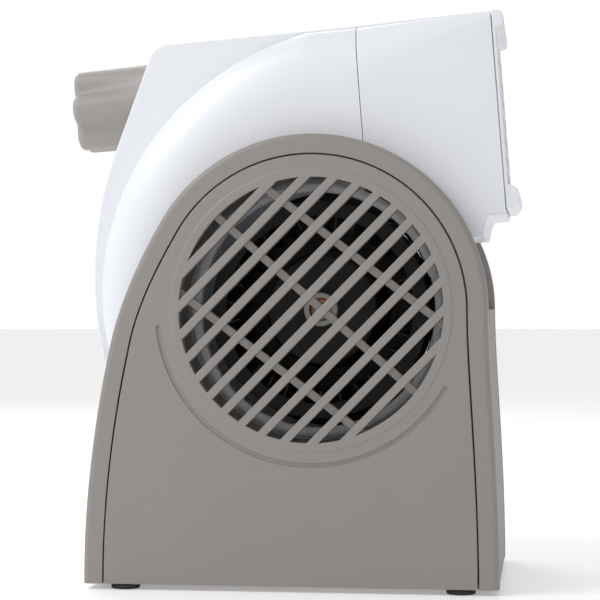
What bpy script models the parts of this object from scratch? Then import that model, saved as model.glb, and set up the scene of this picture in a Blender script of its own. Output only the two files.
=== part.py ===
"""A tilting scroll blower: a white scroll head that turns between two arched grey side shells.

Metres, +Z up. The air leaves towards +X, so the right side of the blower faces -Y. Every length
below is given from the tilt axis, which is also the axis of the wheel and of both side grilles.
"""

import math

import bmesh
import bpy

MM = 0.001
MERGE = 0.00001

# Stand
HALF_WIDTH = 62 * MM
SHELL_DEPTH = 14 * MM
WALL = 2.4 * MM
FOOT_HEIGHT = 2.5 * MM
SCREW_HOLE = 1.9 * MM
PIVOT_HEIGHT = 124.6 * MM
PIVOT_X = 13.5 * MM
BOTTOM = FOOT_HEIGHT - PIVOT_HEIGHT
ARCH_RADIUS = 77.9 * MM
ARCH_START = 150
REAR_REACH = -102 * MM
FRONT_REACH = 82.9 * MM
BAND_WIDTH = 9.3 * MM
PANEL_GAP = 0.7 * MM
PANEL_THICKNESS = 2.5 * MM
GAP = 0.3 * MM
CHEEK_Y = HALF_WIDTH - SHELL_DEPTH
REAR_WALL_TOP = -57 * MM
FOOT_RADIUS = 6.5 * MM
FOOT_PLACES = (("rear", -84 * MM), ("front", 66 * MM))
FOOT_Y = 55 * MM

# Grille
GRILLE_RADIUS = 58.7 * MM
GRILLE_RING = 62.5 * MM
SLAT_COUNT = 12
SLAT_PITCH = 9.42 * MM
SLAT_WIDTH = 3.7 * MM
SLAT_OFFSET = 0.5 * MM
SLAT_ANGLE = math.radians(45.5)
SLAT_DEPTH = 4.6 * MM
RIB_WIDTH = 3.6 * MM
RIBS = ((-37.4, 30.6 * MM), (-41.3, 3.4 * MM), (-37.2, -29.4 * MM))
RIB_SETBACK = 2.6 * MM
RIB_BACK = 6.1 * MM
RIB_REACH = 60 * MM
GROOVE_RADIUS = 68.5 * MM
GROOVE_SPAN = (186.5, 330.2)
SKIRT_INNER, SKIRT_OUTER = 59 * MM, 60.4 * MM
SKIRT_END = 34.3 * MM

# Head, in its own level frame
REST_TILT = math.radians(4.5)
TILT_UP, TILT_DOWN = 45, 15
SEAM_X = 27.7 * MM
HEAD_TOP = 126.6 * MM
MOUTH_X = 88.6 * MM
SCROLL_Y = 47 * MM
BOX_Y = 34 * MM
HEAD_WALL = 2.2 * MM
DRUM_RADIUS = 74.8 * MM
COLLAR_OUTER, COLLAR_INNER = 64 * MM, 61.6 * MM
COLLAR_Y = 53.3 * MM
WELL_Y = 31.2 * MM
INLET_RADIUS = 56.6 * MM
SHOULDER = 26 * MM
EDGE_MARGIN = 1 * MM
SEAM_OVERRUN = 14 * MM
STOP_HALF_ANGLE = 4
REAR_LEAN = 25

# Wheel and motor
WHEEL_RADIUS = 50 * MM
BLADE_COUNT = 30
SHAFT_RADIUS = 2.5 * MM
MOTOR_RADIUS = 22 * MM

# Knob
KNOB_Z = 102.5 * MM
KNOB_FLOOR_X = -72 * MM
KNOB_TIP_X = -109.6 * MM
KNOB_RADIUS = 20.6 * MM
KNOB_LOBES = 6
FLUTE_DEPTH = 4.8 * MM
WELL_OUTER = 23.4 * MM
WELL_WALL = 1.6 * MM

for leftover in list(bpy.data.objects):
    bpy.data.objects.remove(leftover)

parts = bpy.data.collections.new("scroll_blower")
cutters = bpy.data.collections.new("cutters")
cutters.hide_render = True
for group in (parts, cutters):
    bpy.context.scene.collection.children.link(group)


def material(name, colour, roughness, metallic=0.0):
    made = bpy.data.materials.new(name)
    made.use_nodes = True
    shader = made.node_tree.nodes["Principled BSDF"]
    shader.inputs["Base Color"].default_value = (*colour, 1)
    shader.inputs["Roughness"].default_value = roughness
    shader.inputs["Metallic"].default_value = metallic
    return made


WHITE = material("white_plastic", (0.83, 0.85, 0.88), 0.35)
GREY = material("warm_grey_plastic", (0.29, 0.27, 0.25), 0.5)
KNOB_GREY = material("knob_grey_plastic", (0.24, 0.22, 0.2), 0.5)
BLACK = material("black_plastic", (0.01, 0.01, 0.012), 0.5)
RUBBER = material("black_rubber", (0.02, 0.02, 0.02), 0.85)
ACETAL = material("natural_acetal", (0.7, 0.69, 0.64), 0.4)
STEEL = material("zinc_steel", (0.6, 0.6, 0.6), 0.3, 1)
DARK_STEEL = material("motor_steel", (0.3, 0.3, 0.31), 0.4, 1)
BRASS = material("bearing_bronze", (0.45, 0.22, 0.1), 0.35, 1)


def frame_empty(name, parent, place, turn=0.0):
    empty = bpy.data.objects.new(name, None)
    parts.objects.link(empty)
    empty.parent = parent
    empty.location = place
    empty.rotation_euler = (0, turn, 0)
    return empty


stand = frame_empty("stand_axis", None, (PIVOT_X, 0, PIVOT_HEIGHT))
head = frame_empty("tilt_axis", stand, (0, 0, 0), -REST_TILT)
wheel = frame_empty("wheel_axis", head, (0, 0, 0))
knob = frame_empty("knob_axis", head, (KNOB_FLOOR_X, 0, KNOB_Z))


def place(name, mesh, parent, finish=None, location=(0, 0, 0), rotation=(0, 0, 0)):
    """A part with its finish, or a cutter where there is none."""
    thing = bpy.data.objects.new(name, mesh)
    (parts if finish else cutters).objects.link(thing)
    thing.parent = parent
    thing.location = location
    thing.rotation_euler = rotation
    if finish:
        mesh.materials.clear()
        mesh.materials.append(finish)
    else:
        thing.hide_render = True
        thing.display_type = "WIRE"
    return thing


def finished(bm, name):
    mesh = bpy.data.meshes.new(name)
    bm.to_mesh(mesh)
    bm.free()
    mesh.shade_smooth()
    mesh.set_sharp_from_angle(angle=math.radians(35))
    return mesh


def slab_mesh(name, outlines, thickness):
    """A flat closed outline with its holes, made solid about its own plane."""
    curve = bpy.data.curves.new(name, "CURVE")
    curve.dimensions = "2D"
    curve.fill_mode = "BOTH"
    curve.extrude = thickness / 2
    for outline in outlines:
        spline = curve.splines.new("POLY")
        spline.points.add(len(outline) - 1)
        for point, (x, z) in zip(spline.points, outline):
            point.co = (x, z, 0, 1)
        spline.use_cyclic_u = True
    guide = bpy.data.objects.new(name, curve)
    cutters.objects.link(guide)
    graph = bpy.context.evaluated_depsgraph_get()
    mesh = bpy.data.meshes.new_from_object(guide.evaluated_get(graph))
    bpy.data.objects.remove(guide)
    bm = bmesh.new()
    bm.from_mesh(mesh)
    bmesh.ops.remove_doubles(bm, verts=bm.verts, dist=MERGE)
    bmesh.ops.recalc_face_normals(bm, faces=bm.faces)
    bpy.data.meshes.remove(mesh)
    return finished(bm, name)


UPRIGHT = (math.pi / 2, 0, 0)


def slab(name, outlines, y_low, y_high, parent, finish=None):
    """A slab whose outline lies in the XZ plane, between two places along Y."""
    mesh = slab_mesh(name, outlines, y_high - y_low)
    return place(name, mesh, parent, finish, (0, (y_low + y_high) / 2, 0), UPRIGHT)


def turned(name, profile, parent, finish=None, steps=40, location=(0, 0, 0), rotation=UPRIGHT):
    """A profile of (radius, height) turned full circle. Its height runs along -Y unless turned."""
    mesh = bpy.data.meshes.new(name)
    count = len(profile)
    edges = [(i, (i + 1) % count) for i in range(count)]
    if profile[0][0] == 0 and profile[-1][0] == 0:
        edges.pop()
    mesh.from_pydata([(r, 0, h) for r, h in profile], edges, [])
    thing = place(name, mesh, parent, finish, location, rotation)
    screw = thing.modifiers.new("turn", "SCREW")
    screw.steps = screw.render_steps = steps
    screw.use_merge_vertices = True
    screw.merge_threshold = MERGE
    screw.use_smooth_shade = True
    return thing


def ring_profile(inner, outer, low, high):
    return [(outer, high), (outer, low), (inner, low), (inner, high)]


def disc_profile(radius, low, high):
    return [(0, high), (radius, high), (radius, low), (0, low)]


def box(name, low, high, parent, finish=None):
    bm = bmesh.new()
    bmesh.ops.create_cube(bm, size=1)
    size = [b - a for a, b in zip(low, high)]
    bmesh.ops.scale(bm, vec=size, verts=bm.verts)
    bmesh.ops.translate(bm, vec=[(a + b) / 2 for a, b in zip(low, high)], verts=bm.verts)
    return place(name, finished(bm, name), parent, finish)


def boolean(target, operation, *tools):
    for tool in tools:
        step = target.modifiers.new(tool.name, "BOOLEAN")
        step.operation = operation
        step.object = tool
        step.solver = "EXACT"
    return target


def arc(radius, start, end, count, centre=(0, 0)):
    """Points on a circle in the XZ plane, with both ends. Angles in degrees, 0 towards +X."""
    angles = [math.radians(start + (end - start) * i / (count - 1)) for i in range(count)]
    return [(centre[0] + radius * math.cos(a), centre[1] + radius * math.sin(a)) for a in angles]


def bezier(p0, p1, p2, p3, count):
    found = []
    for i in range(count):
        t = i / (count - 1)
        u = 1 - t
        weights = (u ** 3, 3 * u * u * t, 3 * u * t * t, t ** 3)
        found.append(tuple(sum(w * p[k] for w, p in zip(weights, (p0, p1, p2, p3))) for k in (0, 1)))
    return found


def rotated(x, z, angle):
    """A point in the XZ plane, turned about the axis."""
    cos, sin = math.cos(angle), math.sin(angle)
    return (x * cos - z * sin, x * sin + z * cos)


def flipped(y_low, y_high, side):
    """The same stretch of Y on either side: -1 is right, +1 is left."""
    return (y_low, y_high) if side > 0 else (-y_high, -y_low)


# ---------------------------------------------------------------- stand


def front_flank(inset, bottom):
    """The front edge of the stand, from the height of the tilt axis down."""
    return bezier(
        (ARCH_RADIUS - inset, 0),
        (ARCH_RADIUS - inset, -27 * MM),
        (FRONT_REACH - inset, -72 * MM),
        (FRONT_REACH - inset, bottom),
        7,
    )


def rear_flank(inset, bottom):
    """The rear edge of the stand, from the bottom up to where the arch takes over."""
    shoulder = arc(ARCH_RADIUS - inset, ARCH_START, ARCH_START, 2)[0]
    lean = math.radians(ARCH_START)
    reach = 22 * MM
    knee = (-90.6 * MM + inset, -18 * MM)
    lower = bezier(
        (REAR_REACH + inset, bottom),
        (REAR_REACH - 0.3 * MM + inset, -85 * MM),
        (-97 * MM + inset, -47.3 * MM),
        knee,
        7,
    )
    upper = bezier(
        knee,
        (-87.3 * MM + inset, -0.5 * MM),
        (shoulder[0] - reach * math.sin(lean), shoulder[1] + reach * math.cos(lean)),
        shoulder,
        7,
    )
    return lower[:-1] + upper


def stand_outline(inset, bottom):
    """The arched side of the stand, drawn in by an inset: rear flank, arch, front flank."""
    rear = rear_flank(inset, bottom)
    top = arc(ARCH_RADIUS - inset, ARCH_START, 0, 26)
    return rear[:-1] + top + front_flank(inset, bottom)[1:]


def shell_mesh(name, side):
    """The outer solid of a side shell, with its outer edge rounded along the arch and flanks."""
    bm = bmesh.new()
    outline = stand_outline(0, BOTTOM)
    face = [bm.verts.new((x, side * HALF_WIDTH, z)) for x, z in outline]
    base = bm.faces.new(face)
    made = bmesh.ops.extrude_face_region(bm, geom=[base])
    moved = [v for v in made["geom"] if isinstance(v, bmesh.types.BMVert)]
    bmesh.ops.translate(bm, vec=(0, -side * SHELL_DEPTH, 0), verts=moved)
    rim = [
        edge
        for edge in bm.edges
        if all(abs(v.co.y - side * HALF_WIDTH) < MERGE for v in edge.verts)
        and not all(abs(v.co.z - BOTTOM) < MERGE for v in edge.verts)
    ]
    bmesh.ops.bevel(bm, geom=rim, offset=2.6 * MM, segments=3, profile=0.5, affect="EDGES", material=-1)
    bmesh.ops.recalc_face_normals(bm, faces=bm.faces)
    return finished(bm, name)


def make_shell(side, hand):
    shell = place(f"{hand}_shell", shell_mesh(f"{hand}_shell", side), stand, GREY)
    seat = stand_outline(BAND_WIDTH - PANEL_GAP, BOTTOM - 5 * MM)
    hollow = stand_outline(WALL, BOTTOM + WALL)
    seat_depth = PANEL_THICKNESS + GAP
    y = flipped(HALF_WIDTH - seat_depth, HALF_WIDTH + 5 * MM, side)
    seat_cut = slab(f"{hand}_panel_seat", [seat], *y, stand)
    y = flipped(CHEEK_Y + WALL, HALF_WIDTH - seat_depth + 0.05 * MM, side)
    hollow_cut = slab(f"{hand}_hollow", [hollow], *y, stand)
    window = disc_profile(COLLAR_OUTER + 1.5 * MM, -HALF_WIDTH, HALF_WIDTH)
    window_cut = turned(f"{hand}_window", window, stand)
    y = flipped(CHEEK_Y - 5 * MM, CHEEK_Y + 5 * MM, side)
    bore = disc_profile(SCREW_HOLE, *flipped(*y, -1))
    holes = [
        turned(f"{hand}_shell_hole_{i}", bore, stand, None, 16, (x, 0, z))
        for i, (x, z) in enumerate(TRAY_SCREWS)
    ]
    boolean(shell, "DIFFERENCE", hollow_cut, seat_cut, window_cut, *holes)
    return shell


def slot_outlines():
    """The open gaps between slats: strips across the grille's circle, each a ring of points."""
    count = SLAT_COUNT
    slats = [(i - (count - 1) / 2) * SLAT_PITCH + SLAT_OFFSET for i in range(count)]
    edges = [-GRILLE_RADIUS]
    for middle in slats:
        edges += [middle - SLAT_WIDTH / 2, middle + SLAT_WIDTH / 2]
    edges.append(GRILLE_RADIUS)
    outlines = []
    for low, high in zip(edges[::2], edges[1::2]):
        if high - low < 1 * MM:
            continue
        reach = [max(-1, min(1, edge / GRILLE_RADIUS)) for edge in (low, high)]
        low_angle, high_angle = (math.degrees(math.asin(share)) for share in reach)
        count = max(3, round((high_angle - low_angle) / 12))
        right = arc(GRILLE_RADIUS, low_angle, high_angle, count)
        left = arc(GRILLE_RADIUS, 180 - high_angle, 180 - low_angle, count)
        points = right + left
        points = [p for i, p in enumerate(points) if math.dist(p, points[i - 1]) > MERGE]
        outlines.append([rotated(x, z, SLAT_ANGLE) for x, z in points])
    return outlines


def groove_outline():
    """The arc groove under the grille, with round ends."""
    half = 1 * MM
    start, end = GROOVE_SPAN
    first, last = (arc(GROOVE_RADIUS, a, a, 2)[0] for a in (start, end))
    outer = arc(GROOVE_RADIUS + half, start, end, 17)
    inner = arc(GROOVE_RADIUS - half, end, start, 17)
    return (
        outer
        + arc(half, end, end + 180, 5, last)[1:-1]
        + inner
        + arc(half, start - 180, start, 5, first)[1:-1]
    )


def make_grille_panel(side, hand):
    outline = stand_outline(BAND_WIDTH, BOTTOM)
    y = flipped(HALF_WIDTH - PANEL_THICKNESS, HALF_WIDTH, side)
    panel = slab(f"{hand}_grille_panel", [outline, arc(60.5 * MM, 0, 352, 45)], *y, stand, GREY)
    y = flipped(HALF_WIDTH - SLAT_DEPTH, HALF_WIDTH + 0.35 * MM, side)
    ring = slab(f"{hand}_grille_ring", [arc(GRILLE_RING, 0, 352.5, 48)] + slot_outlines(), *y, stand)
    ribs = []
    for i, (angle, offset) in enumerate(RIBS):
        lean = math.radians(angle)
        half_length = math.sqrt(RIB_REACH ** 2 - offset ** 2)
        corners = [(-1, -1), (1, -1), (1, 1), (-1, 1)]
        outline = []
        for along, across in corners:
            u, v = along * half_length, offset + across * RIB_WIDTH / 2
            outline.append(rotated(u, v, lean))
        y = flipped(HALF_WIDTH - RIB_BACK, HALF_WIDTH - RIB_SETBACK, side)
        ribs.append(slab(f"{hand}_grille_rib_{i}", [outline], *y, stand))
    y = flipped(HALF_WIDTH - 0.8 * MM, HALF_WIDTH + 1 * MM, side)
    groove = slab(f"{hand}_groove", [groove_outline()], *y, stand)
    boolean(panel, "UNION", ring, *ribs)
    boolean(panel, "DIFFERENCE", groove)
    y = flipped(SKIRT_END, HALF_WIDTH - RIB_BACK - GAP, side)
    skirt = ring_profile(SKIRT_INNER, SKIRT_OUTER, *flipped(*y, -1))
    turned(f"{hand}_inlet_skirt", skirt, stand, GREY, 48)


GLAND_PLACE = (REAR_REACH - 0.4 * MM, 0, BOTTOM + 17 * MM)
TRAY_SCREWS = ((-80 * MM, BOTTOM + 14 * MM), (62 * MM, BOTTOM + 14 * MM))
SHELL_SCREW_NAMES = ("rear", "front")


def screw_profile(head_radius, head_height, shank_radius, length):
    """A pan head over a shank, with the driver's recess left to the finish."""
    return [
        (0, head_height),
        (head_radius * 0.7, head_height),
        (head_radius, head_height * 0.4),
        (head_radius, 0),
        (shank_radius, 0),
        (shank_radius, -length + shank_radius),
        (0, -length),
    ]


def make_screw(name, parent, location, towards, length):
    """A screw whose head faces along Y: -1 right, +1 left."""
    profile = screw_profile(2.8 * MM, 2 * MM, 1.5 * MM, length)
    rotation = (math.pi / 2, 0, 0) if towards < 0 else (-math.pi / 2, 0, 0)
    return turned(name, profile, parent, STEEL, 12, location, rotation)


def make_tray():
    half = CHEEK_Y - GAP
    low, high = REAR_REACH + 1 * MM, FRONT_REACH - 0.9 * MM
    floor_top = BOTTOM + WALL
    tray = box("base_tray", (low, -half, BOTTOM), (high, half, floor_top), stand, GREY)
    step = 0.5 * MM
    insets = (0.1 * MM, WALL)
    outer, inner = (front_flank(inset, BOTTOM + step) for inset in insets)
    back, fore = ([p for p in rear_flank(inset, BOTTOM + step) if p[1] < REAR_WALL_TOP] for inset in insets)
    pieces = [
        slab("tray_front", [outer + inner[::-1]], -half, half, stand),
        slab("tray_rear", [back + fore[::-1]], -half, half, stand),
    ]
    for side, hand in ((-1, "right"), (1, "left")):
        y = flipped(half - WALL, half, side)
        for name, (x, z) in zip(SHELL_SCREW_NAMES, TRAY_SCREWS):
            ear = [(x - 9 * MM, BOTTOM + step), (x + 9 * MM, BOTTOM + step)]
            ear += arc(9 * MM, 0, 180, 9, (x, z))
            pieces.append(slab(f"tray_ear_{hand}_{name}", [ear], *y, stand))
    boolean(tray, "UNION", *pieces)
    bore = disc_profile(SCREW_HOLE, -half - WALL, half + WALL)
    holes = [
        turned(f"tray_hole_{i}", bore, stand, None, 16, (x, 0, z))
        for i, (x, z) in enumerate(TRAY_SCREWS)
    ]
    entry = turned(
        "gland_hole", disc_profile(5.4 * MM, -5 * MM, 5 * MM), stand, None, 24,
        GLAND_PLACE, (0, math.pi / 2, 0),
    )
    boolean(tray, "DIFFERENCE", *holes, entry)
    gland = [
        (7.5 * MM, 2.6 * MM), (7.5 * MM, 0.3 * MM), (5.1 * MM, 0.3 * MM), (5.1 * MM, -4 * MM),
        (3.2 * MM, -4 * MM), (3.2 * MM, 5 * MM), (5.6 * MM, 5 * MM),
    ]
    turned("cord_gland", gland, stand, BLACK, 24, GLAND_PLACE, (0, -math.pi / 2, 0))


def make_feet():
    height = FOOT_HEIGHT - GAP
    edge = 0.7 * MM
    profile = [(0, height), (FOOT_RADIUS, height), (FOOT_RADIUS, edge), (FOOT_RADIUS - edge, 0), (0, 0)]
    for along, x in FOOT_PLACES:
        for y, hand in ((-FOOT_Y, "right"), (FOOT_Y, "left")):
            place_at = (x, y, -PIVOT_HEIGHT)
            turned(f"foot_{along}_{hand}", profile, stand, RUBBER, 16, place_at, (0, 0, 0))


STOP_ANGLE = 270


def make_pivot_ring(side, hand):
    """The plain ring that a collar of the head turns in, notched for the collar's stop lug."""
    inner, outer = COLLAR_OUTER + GAP, 71.5 * MM
    low, high = CHEEK_Y + WALL + GAP, CHEEK_Y + WALL + 3.3 * MM
    y = flipped(low, high, side)
    profile = ring_profile(inner, outer, *flipped(*y, -1))
    ring = turned(f"{hand}_pivot_ring", profile, stand, ACETAL, 72)
    rest = STOP_ANGLE + math.degrees(REST_TILT)
    start = rest - TILT_DOWN - STOP_HALF_ANGLE - 0.6
    end = rest + TILT_UP + STOP_HALF_ANGLE + 0.6
    notch = arc(inner - 2 * MM, end, start, 15) + arc(68 * MM, start, end, 15)
    y = flipped(low - 1 * MM, high + 1 * MM, side)
    boolean(ring, "DIFFERENCE", slab(f"{hand}_stop_notch", [notch], *y, stand))


for side, hand in ((-1, "right"), (1, "left")):
    make_shell(side, hand)
    make_grille_panel(side, hand)
    make_pivot_ring(side, hand)
    for name, (x, z) in zip(SHELL_SCREW_NAMES, TRAY_SCREWS):
        spot = (x, side * (CHEEK_Y + WALL + GAP), z)
        make_screw(f"shell_screw_{name}_{hand}", stand, spot, side, 7 * MM)
make_tray()
make_feet()

# ---------------------------------------------------------------- head


def head_outline():
    """Points round the scroll housing, from past the top of the front seam and back over the top."""
    rear_start = (-87.4 * MM, 79.8 * MM)
    rear_end = (-101 * MM, -10 * MM)
    top = [(SEAM_X + SEAM_OVERRUN, HEAD_TOP)]
    top += [(x * MM, HEAD_TOP) for x in (32, 22, 8, -8, -24, -42)]
    corner_radius = 7.5 * MM
    centre = (-60.8 * MM, HEAD_TOP - corner_radius)
    corner = arc(corner_radius, 90, 180 - REAR_LEAN, 5, centre)
    slope = [tuple(a + (b - a) * t for a, b in zip(corner[-1], rear_start)) for t in (1 / 3, 2 / 3)]
    rear = bezier(rear_start, (-97.5 * MM, 58 * MM), (-105.5 * MM, 26 * MM), rear_end, 9)
    start = math.degrees(math.atan2(rear_end[1], rear_end[0])) % 360
    radius = math.hypot(*rear_end)
    belly = []
    for i in range(1, 12):
        t = i / 12
        eased = t * t * (3 - 2 * t)
        belly += arc(radius + (DRUM_RADIUS - radius) * eased, start + (295 - start) * t, 0, 2)[:1]
    seam_angle = math.degrees(math.acos(SEAM_X / DRUM_RADIUS))
    drum = arc(DRUM_RADIUS, 295, 360 + seam_angle, 18)
    return top + corner + slope + rear + belly + drum


def head_section(x, z, side):
    """One closed section of the housing's wall on the half-plane through a point of the outline."""
    outer = math.hypot(x, z)
    angle = math.degrees(math.atan2(z, x)) % 360
    beyond = 157 - (angle if angle > 60 else angle + 360)
    scroll = (101.9 + 0.193 * beyond + 0.00216 * beyond * beyond) * MM
    edge = min(scroll, outer - EDGE_MARGIN)
    boxed = max(0, min(1, (outer - 80 * MM) / (12 * MM)))
    edge_y = SCROLL_Y - 0.2 * MM - (SCROLL_Y - 0.2 * MM - BOX_Y) * boxed
    flat = max(67 * MM, edge - SHOULDER)
    dome = [
        (flat + (edge - flat) * math.sin(t), edge_y + (SCROLL_Y - edge_y) * math.cos(t))
        for t in (math.radians(35), math.radians(65))
    ]
    within = edge_y - HEAD_WALL
    section = [
        (INLET_RADIUS, WELL_Y),
        (COLLAR_INNER, WELL_Y),
        (COLLAR_INNER, COLLAR_Y),
        (COLLAR_OUTER, COLLAR_Y),
        (COLLAR_OUTER, SCROLL_Y),
        (flat, SCROLL_Y),
        *dome,
        (edge, edge_y),
        (outer - 0.8 * MM, edge_y),
        (outer, edge_y - 0.8 * MM),
        (outer, GAP / 2),
        (outer - HEAD_WALL, GAP / 2),
        (outer - HEAD_WALL, within - 0.3 * MM),
        (edge - 3 * MM, within),
        (flat - 1 * MM, SCROLL_Y - HEAD_WALL),
        (COLLAR_OUTER + 0.2 * MM, SCROLL_Y - HEAD_WALL),
        (COLLAR_OUTER + 0.2 * MM, WELL_Y - HEAD_WALL),
        (INLET_RADIUS, WELL_Y - HEAD_WALL),
    ]
    cos, sin = x / outer, z / outer
    return [(r * cos, side * y, r * sin) for r, y in section]


def head_mesh(name, side):
    bm = bmesh.new()
    rings = [[bm.verts.new(p) for p in head_section(x, z, side)] for x, z in head_outline()]
    for this, other in zip(rings, rings[1:] + rings[:1]):
        for i in range(len(this)):
            j = (i + 1) % len(this)
            bm.faces.new((this[i], this[j], other[j], other[i]))
    bmesh.ops.recalc_face_normals(bm, faces=bm.faces)
    return finished(bm, name)


HEAD_SCREWS = ((-50 * MM, 119 * MM), (-87.2 * MM, 66 * MM))


def make_head_shell(side, hand):
    shell = place(f"{hand}_head_shell", head_mesh(f"{hand}_head_shell", side), head, WHITE)
    start, end = STOP_ANGLE - STOP_HALF_ANGLE, STOP_ANGLE + STOP_HALF_ANGLE
    lug = arc(COLLAR_INNER + 1 * MM, end, start, 4) + arc(67.4 * MM, start, end, 4)
    y = flipped(CHEEK_Y + WALL + 0.6 * MM, COLLAR_Y - 0.4 * MM, side)
    pieces = [slab(f"{hand}_stop_lug", [lug], *y, head)]
    for i, (x, z) in enumerate(HEAD_SCREWS):
        y = flipped(GAP / 2 + 0.1 * MM, BOX_Y - 1 * MM, side)
        profile = disc_profile(3.6 * MM, *flipped(*y, -1))
        pieces.append(turned(f"{hand}_screw_boss_{i}", profile, head, None, 16, (x, 0, z)))
    boolean(shell, "UNION", *pieces)
    air = box(f"{hand}_air_way", (20 * MM, -42 * MM, 39 * MM), (95 * MM, 42 * MM, 72 * MM), head)
    past_seam = box(f"{hand}_past_seam", (SEAM_X, -60 * MM, 55 * MM), (60 * MM, 60 * MM, 140 * MM), head)
    drum = turned(f"{hand}_drum", disc_profile(DRUM_RADIUS, -70 * MM, 70 * MM), head, None, 120)
    boolean(past_seam, "DIFFERENCE", drum)
    well = turned(
        f"{hand}_knob_hole", disc_profile(WELL_OUTER, -60 * MM, 2 * MM), head, None, 32,
        (KNOB_FLOOR_X + HEAD_WALL, 0, KNOB_Z), (0, math.pi / 2, 0),
    )
    bore = disc_profile(SCREW_HOLE, *flipped(-11 * MM, BOX_Y + 1 * MM, -1))
    holes = [
        turned(f"{hand}_screw_hole_{i}", bore, head, None, 16, (x, 0, z))
        for i, (x, z) in enumerate(HEAD_SCREWS)
    ]
    boolean(shell, "DIFFERENCE", air, past_seam, well, *holes)


def duct_section(x):
    """The duct's outline across the air, at one place along it."""
    along = (x - SEAM_X) / (MOUTH_X - SEAM_X)
    half = SCROLL_Y - 2 * MM * along
    drop_y = (SCROLL_Y - BOX_Y) * (1 - along) + 3 * MM * along
    drop_z = (SHOULDER - 0.8 * MM) * (1 - along) + 3 * MM * along
    brim = HEAD_TOP - EDGE_MARGIN * (1 - along) - 0.1 * MM
    floor = 35.6 * MM - 9 * MM * max(0, min(1, (82 * MM - x) / (4 * MM))) ** 2
    corner = [
        (half - drop_y * (1 - math.cos(t)), brim - drop_z * (1 - math.sin(t)))
        for t in (0, math.radians(30), math.radians(60), math.radians(90))
    ]
    corner.append((half - drop_y - 0.1 * MM, HEAD_TOP))
    bottom = 1.5 * MM
    right = [(half - bottom, floor), (half, floor + bottom)] + corner
    left = [(-y, z) for y, z in reversed(right)]
    return [(x, y, z) for y, z in right + left]


def make_duct():
    bm = bmesh.new()
    places = [SEAM_X + GAP] + [v * MM for v in (45, 62, 74, 78, 79.5, 81, 82.5, 86)] + [MOUTH_X]
    rings = [[bm.verts.new(p) for p in duct_section(x)] for x in places]
    for this, other in zip(rings, rings[1:]):
        for i in range(len(this)):
            j = (i + 1) % len(this)
            bm.faces.new((this[i], this[j], other[j], other[i]))
    bm.faces.new(rings[0])
    bm.faces.new(rings[-1])
    bmesh.ops.recalc_face_normals(bm, faces=bm.faces)
    duct = place("outlet_duct", finished(bm, "outlet_duct"), head, WHITE)
    air = box("duct_air", (10 * MM, -42 * MM, 38.4 * MM), (95 * MM, 42 * MM, 108 * MM), head)
    upper = box("duct_air_upper", (10 * MM, -31.5 * MM, 100 * MM), (95 * MM, 31.5 * MM, 124.2 * MM), head)
    drum = turned("duct_drum", disc_profile(DRUM_RADIUS + GAP, -60 * MM, 60 * MM), head, None, 120)
    boolean(duct, "DIFFERENCE", air, upper, drum)


def make_outlet_grille():
    """The front frame: a lip over the mouth, a round lip under it, side strips and bars."""
    half = 44.6 * MM
    front = MOUTH_X + GAP
    top = [
        (front, 117.8 * MM), (front + 1.6 * MM, 117.8 * MM), (front + 1.6 * MM, 119 * MM),
        (front + 4.9 * MM, 119.5 * MM), (front + 5.2 * MM, 124.5 * MM), (front + 4 * MM, 126.2 * MM),
        (front, 126.6 * MM),
    ]
    frame = slab("outlet_grille", [top], -half, half, head, WHITE)
    lower = [(front, 38 * MM)] + arc(5.4 * MM, -80, 80, 9, (front + 0.9 * MM, 43.5 * MM)) + [(front, 49 * MM)]
    pieces = [slab("grille_lower_lip", [lower], -half, half, head)]
    for y in (-half, half - 3 * MM):
        low = (front, y + 0.05 * MM * (1 if y < 0 else -1), 42 * MM)
        pieces.append(box("grille_strip", low, (front + 1.5 * MM, low[1] + 3 * MM, 122 * MM), head))
    for i in range(7):
        z = (57 + 9.2 * i) * MM
        bar = [
            (front + 0.1 * MM, z), (front + 1.4 * MM, z + 0.2 * MM),
            (front + 1.4 * MM, z + 2 * MM), (front + 0.1 * MM, z + 1.8 * MM),
        ]
        pieces.append(slab(f"grille_bar_{i}", [bar], -half + 1 * MM, half - 1 * MM, head))
    for i in range(3):
        y = (i - 1) * 21 * MM
        low = (front + 0.2 * MM, y - 0.9 * MM, 42 * MM)
        pieces.append(box(f"grille_post_{i}", low, (front + 1.3 * MM, y + 0.9 * MM, 122 * MM), head))
    boolean(frame, "UNION", *pieces)


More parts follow.
